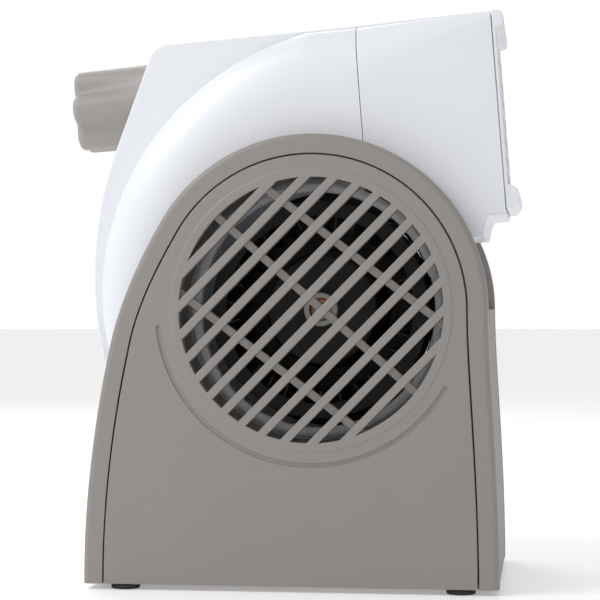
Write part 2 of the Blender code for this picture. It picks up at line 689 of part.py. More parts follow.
def make_inside():
    tongue = [(66.5 * MM, 24 * MM), (60 * MM, 37 * MM), (52 * MM, 33 * MM)]
    tongue += arc(2 * MM, 90, 250, 5, (50 * MM, 30 * MM)) + [(58 * MM, 20 * MM)]
    slab("cutoff_tongue", [tongue], -28.5 * MM, 28.5 * MM, head, WHITE)
    lip = [
        (56.2 * MM, 31.5 * MM), (56.2 * MM, 28.6 * MM), (53.4 * MM, 28.6 * MM), (53.4 * MM, 33 * MM),
        (54 * MM, 34 * MM), (57.6 * MM, 34 * MM), (58 * MM, 33.2 * MM), (57.6 * MM, 31.5 * MM),
    ]
    turned("inlet_ring", lip, head, WHITE, 48)
    plate = ring_profile(MOTOR_RADIUS + 0.5 * MM, 60 * MM, 31.5 * MM, 33.5 * MM)
    mount = turned("motor_mount", [(r, -h) for r, h in reversed(plate)], head, BLACK, 40)
    vents = []
    for i in range(6):
        window = arc(50 * MM, 60 * i + 8, 60 * i + 52, 5) + arc(36 * MM, 60 * i + 52, 60 * i + 8, 5)
        vents.append(slab(f"mount_vent_{i}", [window], 30 * MM, 36 * MM, head))
    spots = [(x, 0, z) for x, z in arc(29 * MM, 90, 330, 3)]
    bore = disc_profile(SCREW_HOLE, -40 * MM, -20 * MM)
    for i, spot in enumerate(spots):
        vents.append(turned(f"mount_hole_{i}", bore, head, None, 16, spot))
        make_screw(f"motor_screw_{i + 1}", head, (spot[0], 36.2 * MM, spot[2]), 1, 5.5 * MM)
    boolean(mount, "DIFFERENCE", *vents)
    can = [
        (0, 10 * MM), (5 * MM, 10 * MM), (5 * MM, 8 * MM), (MOTOR_RADIUS - 2 * MM, 8 * MM),
        (MOTOR_RADIUS, 6 * MM), (MOTOR_RADIUS, -33.8 * MM), (33 * MM, -33.8 * MM),
        (33 * MM, -35.9 * MM), (19 * MM, -35.9 * MM), (18 * MM, -39 * MM), (0, -39 * MM),
    ]
    motor = turned("motor", can, head, DARK_STEEL, 32)
    bore = disc_profile(SCREW_HOLE, -37 * MM, -32 * MM)
    bores = [turned(f"motor_hole_{i}", bore, head, None, 16, spot) for i, spot in enumerate(spots)]
    bore = disc_profile(SHAFT_RADIUS + GAP, 2 * MM, 20 * MM)
    bores.append(turned("shaft_bore", bore, head, None, 24))
    boolean(motor, "DIFFERENCE", *bores)


def make_wheel():
    """The forward-curved blower wheel: a cupped back plate, a front ring and the blades between."""
    hat = [
        (5.9 * MM, 14 * MM), (24 * MM, 14 * MM), (26 * MM, 12 * MM), (28 * MM, -24 * MM),
        (WHEEL_RADIUS, -24 * MM), (WHEEL_RADIUS, -26 * MM), (26 * MM, -26 * MM), (24 * MM, 11 * MM),
        (5.9 * MM, 11.2 * MM),
    ]
    impeller = turned("impeller", hat, wheel, BLACK, 40)
    rim = turned("wheel_rim", ring_profile(43 * MM, WHEEL_RADIUS, 24 * MM, 26 * MM), wheel, None, 40)
    blade = arc(10 * MM, 115, 45, 3) + arc(8.9 * MM, 45, 115, 3)
    low, high = -25 * MM, 25 * MM
    pieces = [rim]
    bm = bmesh.new()
    for i in range(BLADE_COUNT):
        turn = 2 * math.pi * i / BLADE_COUNT
        cos, sin = math.cos(turn), math.sin(turn)
        rows = []
        for y in (low, high):
            local = [(x + 41.3 * MM, z - 7.2 * MM) for x, z in blade]
            rows.append([bm.verts.new((x * cos - z * sin, y, x * sin + z * cos)) for x, z in local])
        bm.faces.new(rows[0])
        bm.faces.new(reversed(rows[1]))
        for k in range(len(blade)):
            j = (k + 1) % len(blade)
            bm.faces.new((rows[0][k], rows[1][k], rows[1][j], rows[0][j]))
    bmesh.ops.recalc_face_normals(bm, faces=bm.faces)
    pieces.append(place("wheel_blades", finished(bm, "wheel_blades"), wheel))
    boolean(impeller, "UNION", *pieces)
    insert = ring_profile(SHAFT_RADIUS + GAP, 5 * MM, 11.5 * MM, 17 * MM)
    turned("hub_insert", insert, wheel, BRASS, 24)
    turned("hub_ring", ring_profile(5.3 * MM, 7.8 * MM, 14.3 * MM, 21 * MM), wheel, ACETAL, 32)
    tip = 22.5 * MM
    chamfer = 0.5 * MM
    shaft = [
        (0, tip), (SHAFT_RADIUS - chamfer, tip), (SHAFT_RADIUS, tip - chamfer),
        (SHAFT_RADIUS, 3 * MM), (0, 3 * MM),
    ]
    turned("motor_shaft", shaft, wheel, STEEL, 20)


def knob_mesh(name):
    """A six-lobed grip that narrows a little to its tip, with a rounded tip edge."""
    around = 48
    length = KNOB_FLOOR_X - KNOB_TIP_X
    rows = (
        (1.6 * MM, 1.02, 0.15),
        (4 * MM, 1.0, 0.2),
        (length - 4 * MM, 0.985, 1.0),
        (length - 1.2 * MM, 0.955, 1.0),
        (length, 0.86, 1.0),
    )
    bm = bmesh.new()
    rings = []
    for reach, grow, flute in rows:
        ring = []
        for i in range(around):
            turn = 2 * math.pi * i / around
            wave = 0.5 - 0.5 * math.cos(KNOB_LOBES * turn)
            radius = grow * (KNOB_RADIUS - flute * FLUTE_DEPTH * (1 - wave) ** 1.5)
            ring.append(bm.verts.new((-reach, radius * math.sin(turn), radius * math.cos(turn))))
        rings.append(ring)
    for this, other in zip(rings, rings[1:]):
        for i in range(around):
            j = (i + 1) % around
            bm.faces.new((this[i], this[j], other[j], other[i]))
    bm.faces.new(rings[0])
    bm.faces.new(rings[-1])
    bmesh.ops.recalc_face_normals(bm, faces=bm.faces)
    return finished(bm, name)


def make_knob():
    rearward = (0, -math.pi / 2, 0)
    grip = place("speed_knob", knob_mesh("speed_knob"), knob, KNOB_GREY)
    centre = (0, 0, 0)
    profile = disc_profile(3.4 * MM, -5 * MM, 17 * MM)
    bore = turned("knob_bore", profile, knob, None, 24, centre, rearward)
    profile = disc_profile(7.5 * MM, -5 * MM, 5.4 * MM)
    relief = turned("knob_relief", profile, knob, None, 24, centre, rearward)
    boolean(grip, "DIFFERENCE", bore, relief)
    stem = [(0, 16.5 * MM), (3.1 * MM, 16.5 * MM), (3.1 * MM, -2 * MM), (0, -2 * MM)]
    turned("switch_shaft", stem, knob, STEEL, 20, centre, rearward)
    floor = (KNOB_FLOOR_X, 0, KNOB_Z)
    outer, inner = WELL_OUTER - GAP, WELL_OUTER - GAP - WELL_WALL
    base, depth = -1.8 * MM, 24 * MM
    cup = [(outer, depth), (outer, base), (5 * MM, base), (5 * MM, 0), (inner, 0), (inner, depth)]
    well = turned("knob_well", cup, head, WHITE, 32, floor, rearward)
    trim = [
        (-71 * MM, 116.2 * MM), (-87.3 * MM, 81.2 * MM), (-95 * MM, 64.7 * MM),
        (-130 * MM, 64 * MM), (-130 * MM, 140 * MM), (-59.9 * MM, 140 * MM),
    ]
    boolean(well, "DIFFERENCE", slab("well_trim", [trim], -40 * MM, 40 * MM, head))
    half = 8.5 * MM
    low, high = (-69.7 * MM, -half, KNOB_Z - half), (-55 * MM, half, KNOB_Z + half)
    switch = box("speed_switch", low, high, head, BLACK)
    profile = ring_profile(3.4 * MM, 4.7 * MM, -3 * MM, 4.6 * MM)
    bush = turned("switch_bush", profile, head, None, 24, floor, rearward)
    profile = disc_profile(3.4 * MM, -6 * MM, 6 * MM)
    hole = turned("switch_bore", profile, head, None, 24, floor, rearward)
    boolean(switch, "UNION", bush)
    boolean(switch, "DIFFERENCE", hole)
    bm = bmesh.new()
    across = 7 * MM
    bmesh.ops.create_cone(
        bm, cap_ends=True, segments=6, radius1=across, radius2=across, depth=2.2 * MM
    )
    seat = (KNOB_FLOOR_X - 1.5 * MM, 0, KNOB_Z)
    nut = place("switch_nut", finished(bm, "switch_nut"), head, STEEL, seat, rearward)
    profile = disc_profile(5 * MM, -6 * MM, 6 * MM)
    boolean(nut, "DIFFERENCE", turned("nut_bore", profile, head, None, 24, floor, rearward))


for side, hand in ((-1, "right"), (1, "left")):
    make_head_shell(side, hand)
for i, name in enumerate(("upper", "lower")):
    x, z = HEAD_SCREWS[i]
    spot = (x, BOX_Y + GAP, z)
    make_screw(f"head_screw_{name}", head, spot, 1, 42 * MM)
make_duct()
make_outlet_grille()
make_inside()
make_wheel()
make_knob()
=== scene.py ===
import math

import bmesh
import bpy
from mathutils import Matrix, Vector
from mathutils.geometry import interpolate_bezier


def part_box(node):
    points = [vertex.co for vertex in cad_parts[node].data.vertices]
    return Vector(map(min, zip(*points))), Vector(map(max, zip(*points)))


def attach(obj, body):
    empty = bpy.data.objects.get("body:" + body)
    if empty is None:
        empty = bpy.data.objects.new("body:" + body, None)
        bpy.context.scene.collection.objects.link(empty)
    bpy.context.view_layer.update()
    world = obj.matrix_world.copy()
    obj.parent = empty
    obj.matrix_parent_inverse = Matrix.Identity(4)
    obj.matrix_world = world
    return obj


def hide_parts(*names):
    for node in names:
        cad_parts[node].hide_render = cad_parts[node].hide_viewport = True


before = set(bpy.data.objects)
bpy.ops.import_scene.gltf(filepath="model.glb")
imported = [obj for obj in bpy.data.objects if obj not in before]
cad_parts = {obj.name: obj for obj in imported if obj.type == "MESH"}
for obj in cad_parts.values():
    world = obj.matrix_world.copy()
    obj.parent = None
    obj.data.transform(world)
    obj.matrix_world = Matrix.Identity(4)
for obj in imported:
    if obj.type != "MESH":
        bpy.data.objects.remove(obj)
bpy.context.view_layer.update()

# ------------------------------------------------------------------ side shells
# Two arched shells carry the blower between them. Each is one ABS moulding in a warm satin grey,
# with a rolled outer edge, a shallow seat for its grille panel and a cheek with a round window.

MM = 0.001
HALF_WIDTH = 62 * MM
SHELL_DEPTH = 14 * MM
SHELL_WALL = 2.4 * MM
ARCH_RADIUS = 77.9 * MM
ARCH_START = 150
REAR_REACH = -102 * MM
FRONT_REACH = 82.9 * MM
SEAT_INSET = 8.6 * MM
SEAT_DEPTH = 2.8 * MM
ROLLED_EDGE = 2.6 * MM
WINDOW_RADIUS = 65.5 * MM
WARM_GREY = (0.266, 0.246, 0.232)

ring_low, ring_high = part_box("right_pivot_ring")
PIVOT = Vector(((ring_low.x + ring_high.x) / 2, 0, (ring_low.z + ring_high.z) / 2))
STAND = Matrix.Translation(PIVOT)
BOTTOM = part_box("right_shell")[0].z - PIVOT.z


class Wire:
    """A shader socket that takes part in Python arithmetic; each operator adds its Math node."""

    def __init__(self, tree, socket=None):
        self.tree = tree
        self.socket = socket

    def node(self, kind, settings, inputs, out=0):
        made = self.tree.nodes.new("ShaderNode" + kind)
        for name, value in settings.items():
            if name == "stops":
                for i, (position, shade) in enumerate(value):
                    new = made.color_ramp.elements.new
                    stop = made.color_ramp.elements[i] if i < 2 else new(position)
                    stop.position = position
                    stop.color = (shade, shade, shade, 1)
            else:
                setattr(made, name, value)
        for name, value in inputs.items():
            if isinstance(value, Wire):
                self.tree.links.new(value.socket, made.inputs[name])
            else:
                made.inputs[name].default_value = value
        return Wire(self.tree, made.outputs[out])

    def math(self, operation, first, second):
        return self.node("Math", {"operation": operation}, {0: first, 1: second})

    def __add__(self, other):
        return self.math("ADD", self, other)

    __radd__ = __add__

    def __sub__(self, other):
        return self.math("SUBTRACT", self, other)

    def __rsub__(self, other):
        return self.math("SUBTRACT", other, self)

    def __mul__(self, other):
        return self.math("MULTIPLY", self, other)

    __rmul__ = __mul__

    def noise(self, place, scale, detail=3, roughness=0.55):
        inputs = {"Vector": place, "Scale": scale, "Detail": detail, "Roughness": roughness}
        return self.node("TexNoise", {}, inputs)

    def ramp(self, value, *stops):
        return self.node("ValToRGB", {"stops": stops}, {"Fac": value})

    def mix(self, share, first, second):
        inputs = {0: share, 6: first, 7: second}
        return self.node("Mix", {"data_type": "RGBA"}, inputs, 2)


def tinted(colour, factor):
    return (*(min(1, c * factor) for c in colour), 1)


def material(name, build, **fixed):
    """A Principled material: build gives the sockets that vary over the surface."""
    made = bpy.data.materials.new(name)
    made.use_nodes = True
    shader = made.node_tree.nodes["Principled BSDF"]
    for socket, value in fixed.items():
        shader.inputs[socket.replace("_", " ")].default_value = value
    wire = Wire(made.node_tree)
    place = wire.node("TexCoord", {}, {}, "Object")
    for socket, value in build(wire, place).items():
        made.node_tree.links.new(value.socket, shader.inputs[socket])
    return made


def moulded(colour, gloss, grain, depth, mottle=0.03):
    """Injection-moulded plastic: spark-eroded grain, faint flow mottle, dust specks, handling marks."""

    def build(wire, place):
        flow = wire.noise(place, 28, 4)
        speck = wire.ramp(wire.noise(place, 1900, 2), (0.66, 0), (0.74, 1))
        rub = wire.ramp(wire.noise(place, 75, 5, 0.65), (0.42, 0), (0.68, 1))
        base = wire.mix(flow, tinted(colour, 1 - mottle), tinted(colour, 1 + mottle))
        fine = wire.noise(place, grain, 3, 0.6)
        waves = wire.noise(place, 55, 2)
        height = fine * 0.7 + waves * 0.3
        bump = wire.node("Bump", {}, {"Height": height, "Strength": depth, "Distance": 0.05 * MM})
        return {
            "Base Color": wire.mix(speck * 0.16, base, tinted(colour, 0.72)),
            "Roughness": gloss + 0.05 * flow - 0.07 * rub + 0.05 * fine,
            "Normal": bump,
        }

    return build


def arc(radius, start, end, count, centre=(0, 0)):
    """Points on a circle in X and Z about an axis, both ends among them, in degrees from +X."""
    turns = [math.radians(start + (end - start) * i / (count - 1)) for i in range(count)]
    return [(centre[0] + radius * math.cos(t), centre[1] + radius * math.sin(t)) for t in turns]


def flank(*points, count):
    """A smooth edge through a cubic's four points."""
    return [tuple(p) for p in interpolate_bezier(*(Vector(p) for p in points), count)]


def front_flank(inset, bottom):
    return flank(
        (ARCH_RADIUS - inset, 0),
        (ARCH_RADIUS - inset, -27 * MM),
        (FRONT_REACH - inset, -72 * MM),
        (FRONT_REACH - inset, bottom),
        count=25,
    )


def rear_flank(inset, bottom):
    shoulder = arc(ARCH_RADIUS - inset, ARCH_START, ARCH_START, 2)[0]
    lean = math.radians(ARCH_START)
    reach = 22 * MM
    knee = (-90.6 * MM + inset, -18 * MM)
    lower = flank(
        (REAR_REACH + inset, bottom),
        (REAR_REACH - 0.3 * MM + inset, -85 * MM),
        (-97 * MM + inset, -47.3 * MM),
        knee,
        count=31,
    )
    upper = flank(
        knee,
        (-87.3 * MM + inset, -0.5 * MM),
        (shoulder[0] - reach * math.sin(lean), shoulder[1] + reach * math.cos(lean)),
        shoulder,
        count=25,
    )
    return lower[:-1] + upper


def stand_outline(inset, bottom):
    """The stand from the side: up the rear flank, over the arch, down the front flank."""
    arch = arc(ARCH_RADIUS - inset, ARCH_START, 0, 97)
    return rear_flank(inset, bottom)[:-1] + arch + front_flank(inset, bottom)[1:]


def slab(bm, outline, near, far):
    """A closed outline carried along Y from one depth to another, as a solid."""
    face = bm.faces.new([bm.verts.new((x, near, z)) for x, z in outline])
    made = bmesh.ops.extrude_face_region(bm, geom=[face])["geom"]
    moved = [item for item in made if isinstance(item, bmesh.types.BMVert)]
    bmesh.ops.translate(bm, vec=(0, far - near, 0), verts=moved)
    bmesh.ops.recalc_face_normals(bm, faces=bm.faces)
    return bm


def turned(bm, profile, steps=96):
    """A profile of (radius, place along Y) spun full circle about Y."""
    corners = [bm.verts.new((radius, along, 0)) for radius, along in profile]
    pairs = list(zip(corners, corners[1:]))
    if profile[0][0] > 0 or profile[-1][0] > 0:
        pairs.append((corners[-1], corners[0]))
    edges = [bm.edges.new(pair) for pair in pairs]
    bmesh.ops.spin(
        bm, geom=corners + edges, cent=(0, 0, 0), axis=(0, 1, 0), dvec=(0, 0, 0),
        angle=math.tau, steps=steps, use_merge=True, use_normal_flip=False, use_duplicate=False,
    )
    bmesh.ops.remove_doubles(bm, verts=bm.verts, dist=0.002 * MM)
    bmesh.ops.recalc_face_normals(bm, faces=bm.faces)
    return bm


def soften(bm, width, segments=3, sharper=30, chosen=None):
    """Rounds the edges that turn by more than an angle."""
    edges = [
        edge for edge in bm.edges
        if edge.is_manifold and edge.calc_face_angle() > math.radians(sharper)
        and (chosen is None or chosen(edge))
    ]
    bmesh.ops.bevel(
        bm, geom=edges, offset=width, offset_type="OFFSET", segments=segments, profile=0.5,
        affect="EDGES", clamp_overlap=True, material=-1,
    )
    return bm


def raw(bm, name):
    mesh = bpy.data.meshes.new(name)
    bm.to_mesh(mesh)
    bm.free()
    thing = bpy.data.objects.new(name, mesh)
    bpy.context.scene.collection.objects.link(thing)
    return thing


def carved(bm, *tools, operation="DIFFERENCE"):
    """The shape less its tools, or joined with them, by exact Booleans."""
    body = raw(bm, "carved")
    others = [raw(tool, "tool") for tool in tools]
    for other in others:
        step = body.modifiers.new("step", "BOOLEAN")
        step.operation = operation
        step.solver = "EXACT"
        step.object = other
    graph = bpy.context.evaluated_depsgraph_get()
    result = bmesh.new()
    result.from_mesh(body.evaluated_get(graph).to_mesh())
    for thing in (body, *others):
        mesh = thing.data
        bpy.data.objects.remove(thing)
        bpy.data.meshes.remove(mesh)
    bmesh.ops.dissolve_degenerate(result, dist=0.002 * MM, edges=result.edges)
    return result


def piece(bm, name, finish, body, nodes, at=STAND, mirror=False):
    """Sets a finished mesh in its place, shaded, riding on its body, in place of its CAD nodes."""
    if mirror:
        bmesh.ops.scale(bm, vec=(1, -1, 1), verts=bm.verts)
        bmesh.ops.reverse_faces(bm, faces=bm.faces)
    bmesh.ops.transform(bm, matrix=at, verts=bm.verts)
    thing = raw(bm, name)
    thing.data.materials.append(finish)
    thing.data.shade_smooth()
    thing.data.set_sharp_from_angle(angle=math.radians(38))
    weighted = thing.modifiers.new("weighted normals", "WEIGHTED_NORMAL")
    weighted.keep_sharp = True
    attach(thing, body)
    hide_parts(*nodes)
    return thing


def shell_moulding():
    shell = slab(bmesh.new(), stand_outline(0, BOTTOM), -HALF_WIDTH, SHELL_DEPTH - HALF_WIDTH)

    def rim(edge):
        ends = [v.co for v in edge.verts]
        outer = all(abs(p.y + HALF_WIDTH) < 0.01 * MM for p in ends)
        return outer and not all(abs(p.z - BOTTOM) < 0.01 * MM for p in ends)

    soften(shell, ROLLED_EDGE, 8, chosen=rim)
    inner = SHELL_DEPTH - SHELL_WALL - HALF_WIDTH
    below = BOTTOM - 5 * MM
    seat_outline = stand_outline(SEAT_INSET, below)
    seat = slab(bmesh.new(), seat_outline, -HALF_WIDTH - MM, SEAT_DEPTH - HALF_WIDTH)
    hollow = slab(
        bmesh.new(), stand_outline(SHELL_WALL, BOTTOM + SHELL_WALL),
        SEAT_DEPTH - 0.05 * MM - HALF_WIDTH, inner,
    )
    profile = [(0, -HALF_WIDTH), (WINDOW_RADIUS, -HALF_WIDTH), (WINDOW_RADIUS, 0), (0, 0)]
    return carved(shell, hollow, seat, turned(bmesh.new(), profile))


SATIN_GREY = material("satin_warm_grey", moulded(WARM_GREY, 0.5, 1500, 0.35))
for hand in ("right", "left"):
    piece(
        shell_moulding(), f"{hand}_shell_moulding", SATIN_GREY, "base",
        [f"{hand}_shell"], mirror=hand == "left",
    )

# ------------------------------------------------------------------ grille panels
# A flat panel drops into each seat, flush with the band round it. The round intake is moulded in
# one with it: twelve slanted slats in front of three ribs, inside a faint raised ring.
# The rows inside grille_panel are (growth or inset, depth) in millimetres, front to back.

BAND_WIDTH = 9.3 * MM
PANEL_THICKNESS = 2.5 * MM
GRILLE_RADIUS = 58.7 * MM
GRILLE_RING = 62.5 * MM
SLAT_COUNT = 12
SLAT_PITCH = 9.42 * MM
SLAT_WIDTH = 3.7 * MM
SLAT_OFFSET = 0.5 * MM
SLAT_ANGLE = math.radians(45.5)
SLAT_DEPTH = 4.6 * MM
RIB_WIDTH = 3.6 * MM
RIB_SETBACK, RIB_BACK, RIB_REACH = 2.6 * MM, 6.1 * MM, 60 * MM
RIBS = ((-37.4, 30.6 * MM), (-41.3, 3.4 * MM), (-37.2, -29.4 * MM))
GROOVE_RADIUS = 68.5 * MM
GROOVE_HALF = 1 * MM
GROOVE_SPAN = (186.5, 330.2)


def swept(bm, rows, ring=True):
    """Carries a row of points through the next rows, one extrusion each. Gives its first and last edges."""
    station = bm.verts.layers.int.get("station") or bm.verts.layers.int.new("station")
    corners = [bm.verts.new(point) for point in rows[0]]
    for i, corner in enumerate(corners):
        corner[station] = i
    pairs = list(zip(corners, corners[1:])) + ([(corners[-1], corners[0])] if ring else [])
    first = edges = [bm.edges.new(pair) for pair in pairs]
    for row in rows[1:]:
        made = bmesh.ops.extrude_edge_only(bm, edges=edges)["geom"]
        edges = [item for item in made if isinstance(item, bmesh.types.BMEdge)]
        for item in made:
            if isinstance(item, bmesh.types.BMVert):
                item.co = row[item[station]]
    return first, edges


def at_depth(outline, depth):
    return [(x, depth - HALF_WIDTH, z) for x, z in outline]


def slot_outline(low, high, grow):
    """One gap between slats: a strip across the grille's circle, its corners on the circle."""
    radius = GRILLE_RADIUS + grow
    ends = [max(-1, min(1, edge / radius)) for edge in (low - grow, high + grow)]
    low_angle, high_angle = (math.degrees(math.asin(end)) for end in ends)
    count = max(5, round((high - low) / MM * 1.5))
    right = arc(radius, low_angle, high_angle, count)
    left = arc(radius, 180 - high_angle, 180 - low_angle, count)
    if low <= -GRILLE_RADIUS:
        left = left[:-1]
    if high >= GRILLE_RADIUS:
        left = left[1:]
    cos, sin = math.cos(SLAT_ANGLE), math.sin(SLAT_ANGLE)
    return [(x * cos - z * sin, x * sin + z * cos) for x, z in right + left]


def groove_outline(grow):
    half = GROOVE_HALF + grow
    start, end = GROOVE_SPAN
    first, last = (arc(GROOVE_RADIUS, turn, turn, 2)[0] for turn in GROOVE_SPAN)
    return (
        arc(GROOVE_RADIUS + half, start, end, 73)
        + arc(half, end, end + 180, 11, last)[1:-1]
        + arc(GROOVE_RADIUS - half, end, start, 73)
        + arc(half, start - 180, start, 11, first)[1:-1]
    )


def grille_panel():
    bm = bmesh.new()
    edge_rows = [(0.5, 0), (0.25, 0.07), (0.07, 0.25), (0, 0.5), (0, 2.5)]
    rim = swept(bm, [
        at_depth(stand_outline(BAND_WIDTH + inset * MM, BOTTOM + inset * MM), depth * MM)
        for inset, depth in edge_rows
    ])
    ring_rows = [(0.45, 0), (0.2, -0.06), (-0.05, -0.25), (-0.35, -0.35)]
    front_ring = swept(bm, [
        at_depth(arc(GRILLE_RING + grow * MM, 0, 357.5, 144), depth * MM) for grow, depth in ring_rows
    ])
    back_ring = swept(bm, [
        at_depth(arc(GRILLE_RING, 0, 357.5, 144), depth) for depth in (PANEL_THICKNESS, SLAT_DEPTH)
    ])
    groove_rows = [(0.3, 0), (0.09, 0.09), (0, 0.3), (0, 0.6), (-0.25, 0.8)]
    groove = swept(bm, [at_depth(groove_outline(grow * MM), depth * MM) for grow, depth in groove_rows])
    slat_middles = [(i - (SLAT_COUNT - 1) / 2) * SLAT_PITCH + SLAT_OFFSET for i in range(SLAT_COUNT)]
    sides = [-GRILLE_RADIUS]
    for middle in slat_middles:
        sides += [middle - SLAT_WIDTH / 2, middle + SLAT_WIDTH / 2]
    sides.append(GRILLE_RADIUS)
    slot_rows = [(0.42, -0.35), (0.2, -0.29), (0.06, -0.15), (0, 0.05), (0, 4.3), (0.3, 4.6)]
    slots = [
        swept(bm, [at_depth(slot_outline(low, high, grow * MM), depth * MM) for grow, depth in slot_rows])
        for low, high in zip(sides[::2], sides[1::2])
    ]
    fills = (
        rim[0] + front_ring[0] + groove[0],
        groove[1],
        front_ring[1] + [edge for slot in slots for edge in slot[0]],
        back_ring[1] + [edge for slot in slots for edge in slot[1]],
        rim[1] + back_ring[0],
    )
    for edges in fills:
        bmesh.ops.triangle_fill(bm, use_beauty=True, use_dissolve=False, edges=edges)
    bmesh.ops.recalc_face_normals(bm, faces=bm.faces)
    for angle, offset in RIBS:
        half_length = math.sqrt(RIB_REACH ** 2 - offset ** 2)
        rib = bmesh.new()
        low, high = offset - RIB_WIDTH / 2, offset + RIB_WIDTH / 2
        outline = [(-half_length, low), (half_length, low), (half_length, high), (-half_length, high)]
        slab(rib, outline, RIB_SETBACK - HALF_WIDTH, RIB_BACK - HALF_WIDTH)
        soften(rib, 0.4 * MM, 3)
        bmesh.ops.rotate(
            rib, cent=(0, 0, 0), matrix=Matrix.Rotation(-math.radians(angle), 3, "Y"), verts=rib.verts
        )
        part = bpy.data.meshes.new("rib")
        rib.to_mesh(part)
        rib.free()
        bm.from_mesh(part)
        bpy.data.meshes.remove(part)
    return bm


for hand in ("right", "left"):
    piece(
        grille_panel(), f"{hand}_intake_panel", SATIN_GREY, "base",
        [f"{hand}_grille_panel"], mirror=hand == "left",
    )

# ------------------------------------------------------------------ inlet skirts
# A thin grey tube stands behind each grille and reaches in through the cheek's window, so that
# the air is drawn through the slats only. It is moulded with a rounded inner end.

SKIRT_INNER, SKIRT_OUTER = 59 * MM, 60.4 * MM
SKIRT_FRONT = RIB_BACK + 0.3 * MM - HALF_WIDTH
SKIRT_END = -34.3 * MM

for hand in ("right", "left"):
    profile = [
        (SKIRT_INNER, SKIRT_FRONT), (SKIRT_OUTER, SKIRT_FRONT),
        (SKIRT_OUTER, SKIRT_END), (SKIRT_INNER, SKIRT_END),
    ]
    skirt = soften(turned(bmesh.new(), profile, 144), 0.4 * MM, 3, 40)
    piece(
        skirt, f"{hand}_skirt_tube", SATIN_GREY, "base",
        [f"{hand}_inlet_skirt"], mirror=hand == "left",
    )

# ------------------------------------------------------------------ base tray, gland, feet, pivot rings
# A grey tray with a front and a rear wall screws to both shells from inside. Rubber feet are
# pressed in under it, and plain acetal rings carry the head's collars.

CHEEK_Y = HALF_WIDTH - SHELL_DEPTH
TRAY_HALF = CHEEK_Y - 0.3 * MM
TRAY_REAR, TRAY_FRONT = REAR_REACH + 1 * MM, FRONT_REACH - 0.9 * MM
REAR_WALL_TOP = -57 * MM


def tray_wall(rows):
    wall = slab(bmesh.new(), rows, -TRAY_HALF, TRAY_HALF)
    return soften(wall, 0.45 * MM, 3, 50)


def joined(*meshes):
    """Several closed bodies of one moulding in one mesh."""
    whole = bmesh.new()
    for bm in meshes:
        part = bpy.data.meshes.new("part")
        bm.to_mesh(part)
        bm.free()
        whole.from_mesh(part)
        bpy.data.meshes.remove(part)
    return whole


step = 0.5 * MM
back, fore = (
    [p for p in rear_flank(inset, BOTTOM + step) if p[1] < REAR_WALL_TOP]
    for inset in (0.1 * MM, SHELL_WALL)
)
outer, inner = (front_flank(inset, BOTTOM + step) for inset in (0.1 * MM, SHELL_WALL))
floor = [
    (TRAY_REAR, BOTTOM), (TRAY_FRONT, BOTTOM),
    (TRAY_FRONT, BOTTOM + SHELL_WALL), (TRAY_REAR, BOTTOM + SHELL_WALL),
]
piece(
    joined(tray_wall(back + fore[::-1]), tray_wall(outer + inner[::-1]), tray_wall(floor)),
    "tray_moulding", SATIN_GREY, "base", ["base_tray"],
)

RUBBER = material("foot_rubber", moulded((0.022, 0.022, 0.023), 0.8, 1100, 0.6, 0.1))
for node in sorted(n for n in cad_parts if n.startswith("foot_")):
    low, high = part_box(node)
    radius, height = (high.x - low.x) / 2, high.z - low.z
    profile = [(0, 0), (radius - 0.5 * MM, 0), (radius, 0.6 * MM), (radius, height), (0, height)]
    foot = turned(bmesh.new(), profile, 48)
    soften(foot, 0.3 * MM, 3, 25)
    middle = Matrix.Translation(((low.x + high.x) / 2, (low.y + high.y) / 2, low.z))
    upright = middle @ Matrix.Rotation(math.pi / 2, 4, "X")
    piece(foot, f"{node}_pad", RUBBER, "base", [node], upright)

SATIN_BLACK = material("satin_black", moulded((0.008, 0.008, 0.009), 0.5, 1300, 0.3, 0.1))
WAXY = material("natural_acetal", moulded((0.62, 0.61, 0.57), 0.4, 900, 0.2))

# ------------------------------------------------------------------ head shells
# The scroll housing splits down the middle into two white ABS shells. Each is a domed volute
# raised on a narrower box, with a collar that turns in the stand and a sunk inlet. The dome's rim
# grows round the volute as SCROLL_BASE + SCROLL_RISE * angle + SCROLL_CURVE * angle squared.

REST_TILT = math.radians(4.5)
HEAD = STAND @ Matrix.Rotation(-REST_TILT, 4, "Y")
SEAM_X = 27.7 * MM
HEAD_TOP = 126.6 * MM
REAR_LEAN = 25
SCROLL_Y = 47 * MM
BOX_Y = 34 * MM
HEAD_WALL = 2.2 * MM
DRUM_RADIUS = 74.8 * MM
COLLAR_OUTER, COLLAR_INNER = 64 * MM, 61.6 * MM
COLLAR_Y = 53.3 * MM
INLET_Y = 31.2 * MM
INLET_RADIUS = 56.6 * MM
SHOULDER = 26 * MM
SCROLL_END_ANGLE = 157
SCROLL_BASE, SCROLL_RISE, SCROLL_CURVE = 101.9, 0.193, 0.00216
FLAT_MIN = 67 * MM
RIM_ROUND, LIP_ROUND = 0.8 * MM, 0.5 * MM
SPLIT_GAP = 0.15 * MM
KNOB_Z = 102.5 * MM
KNOB_FLOOR_X = -72 * MM
WELL_OUTER = 23.4 * MM
EDGE_MARGIN = 1 * MM
SEAM_OVERRUN = 14 * MM
BLUE_WHITE = (0.765, 0.785, 0.825)


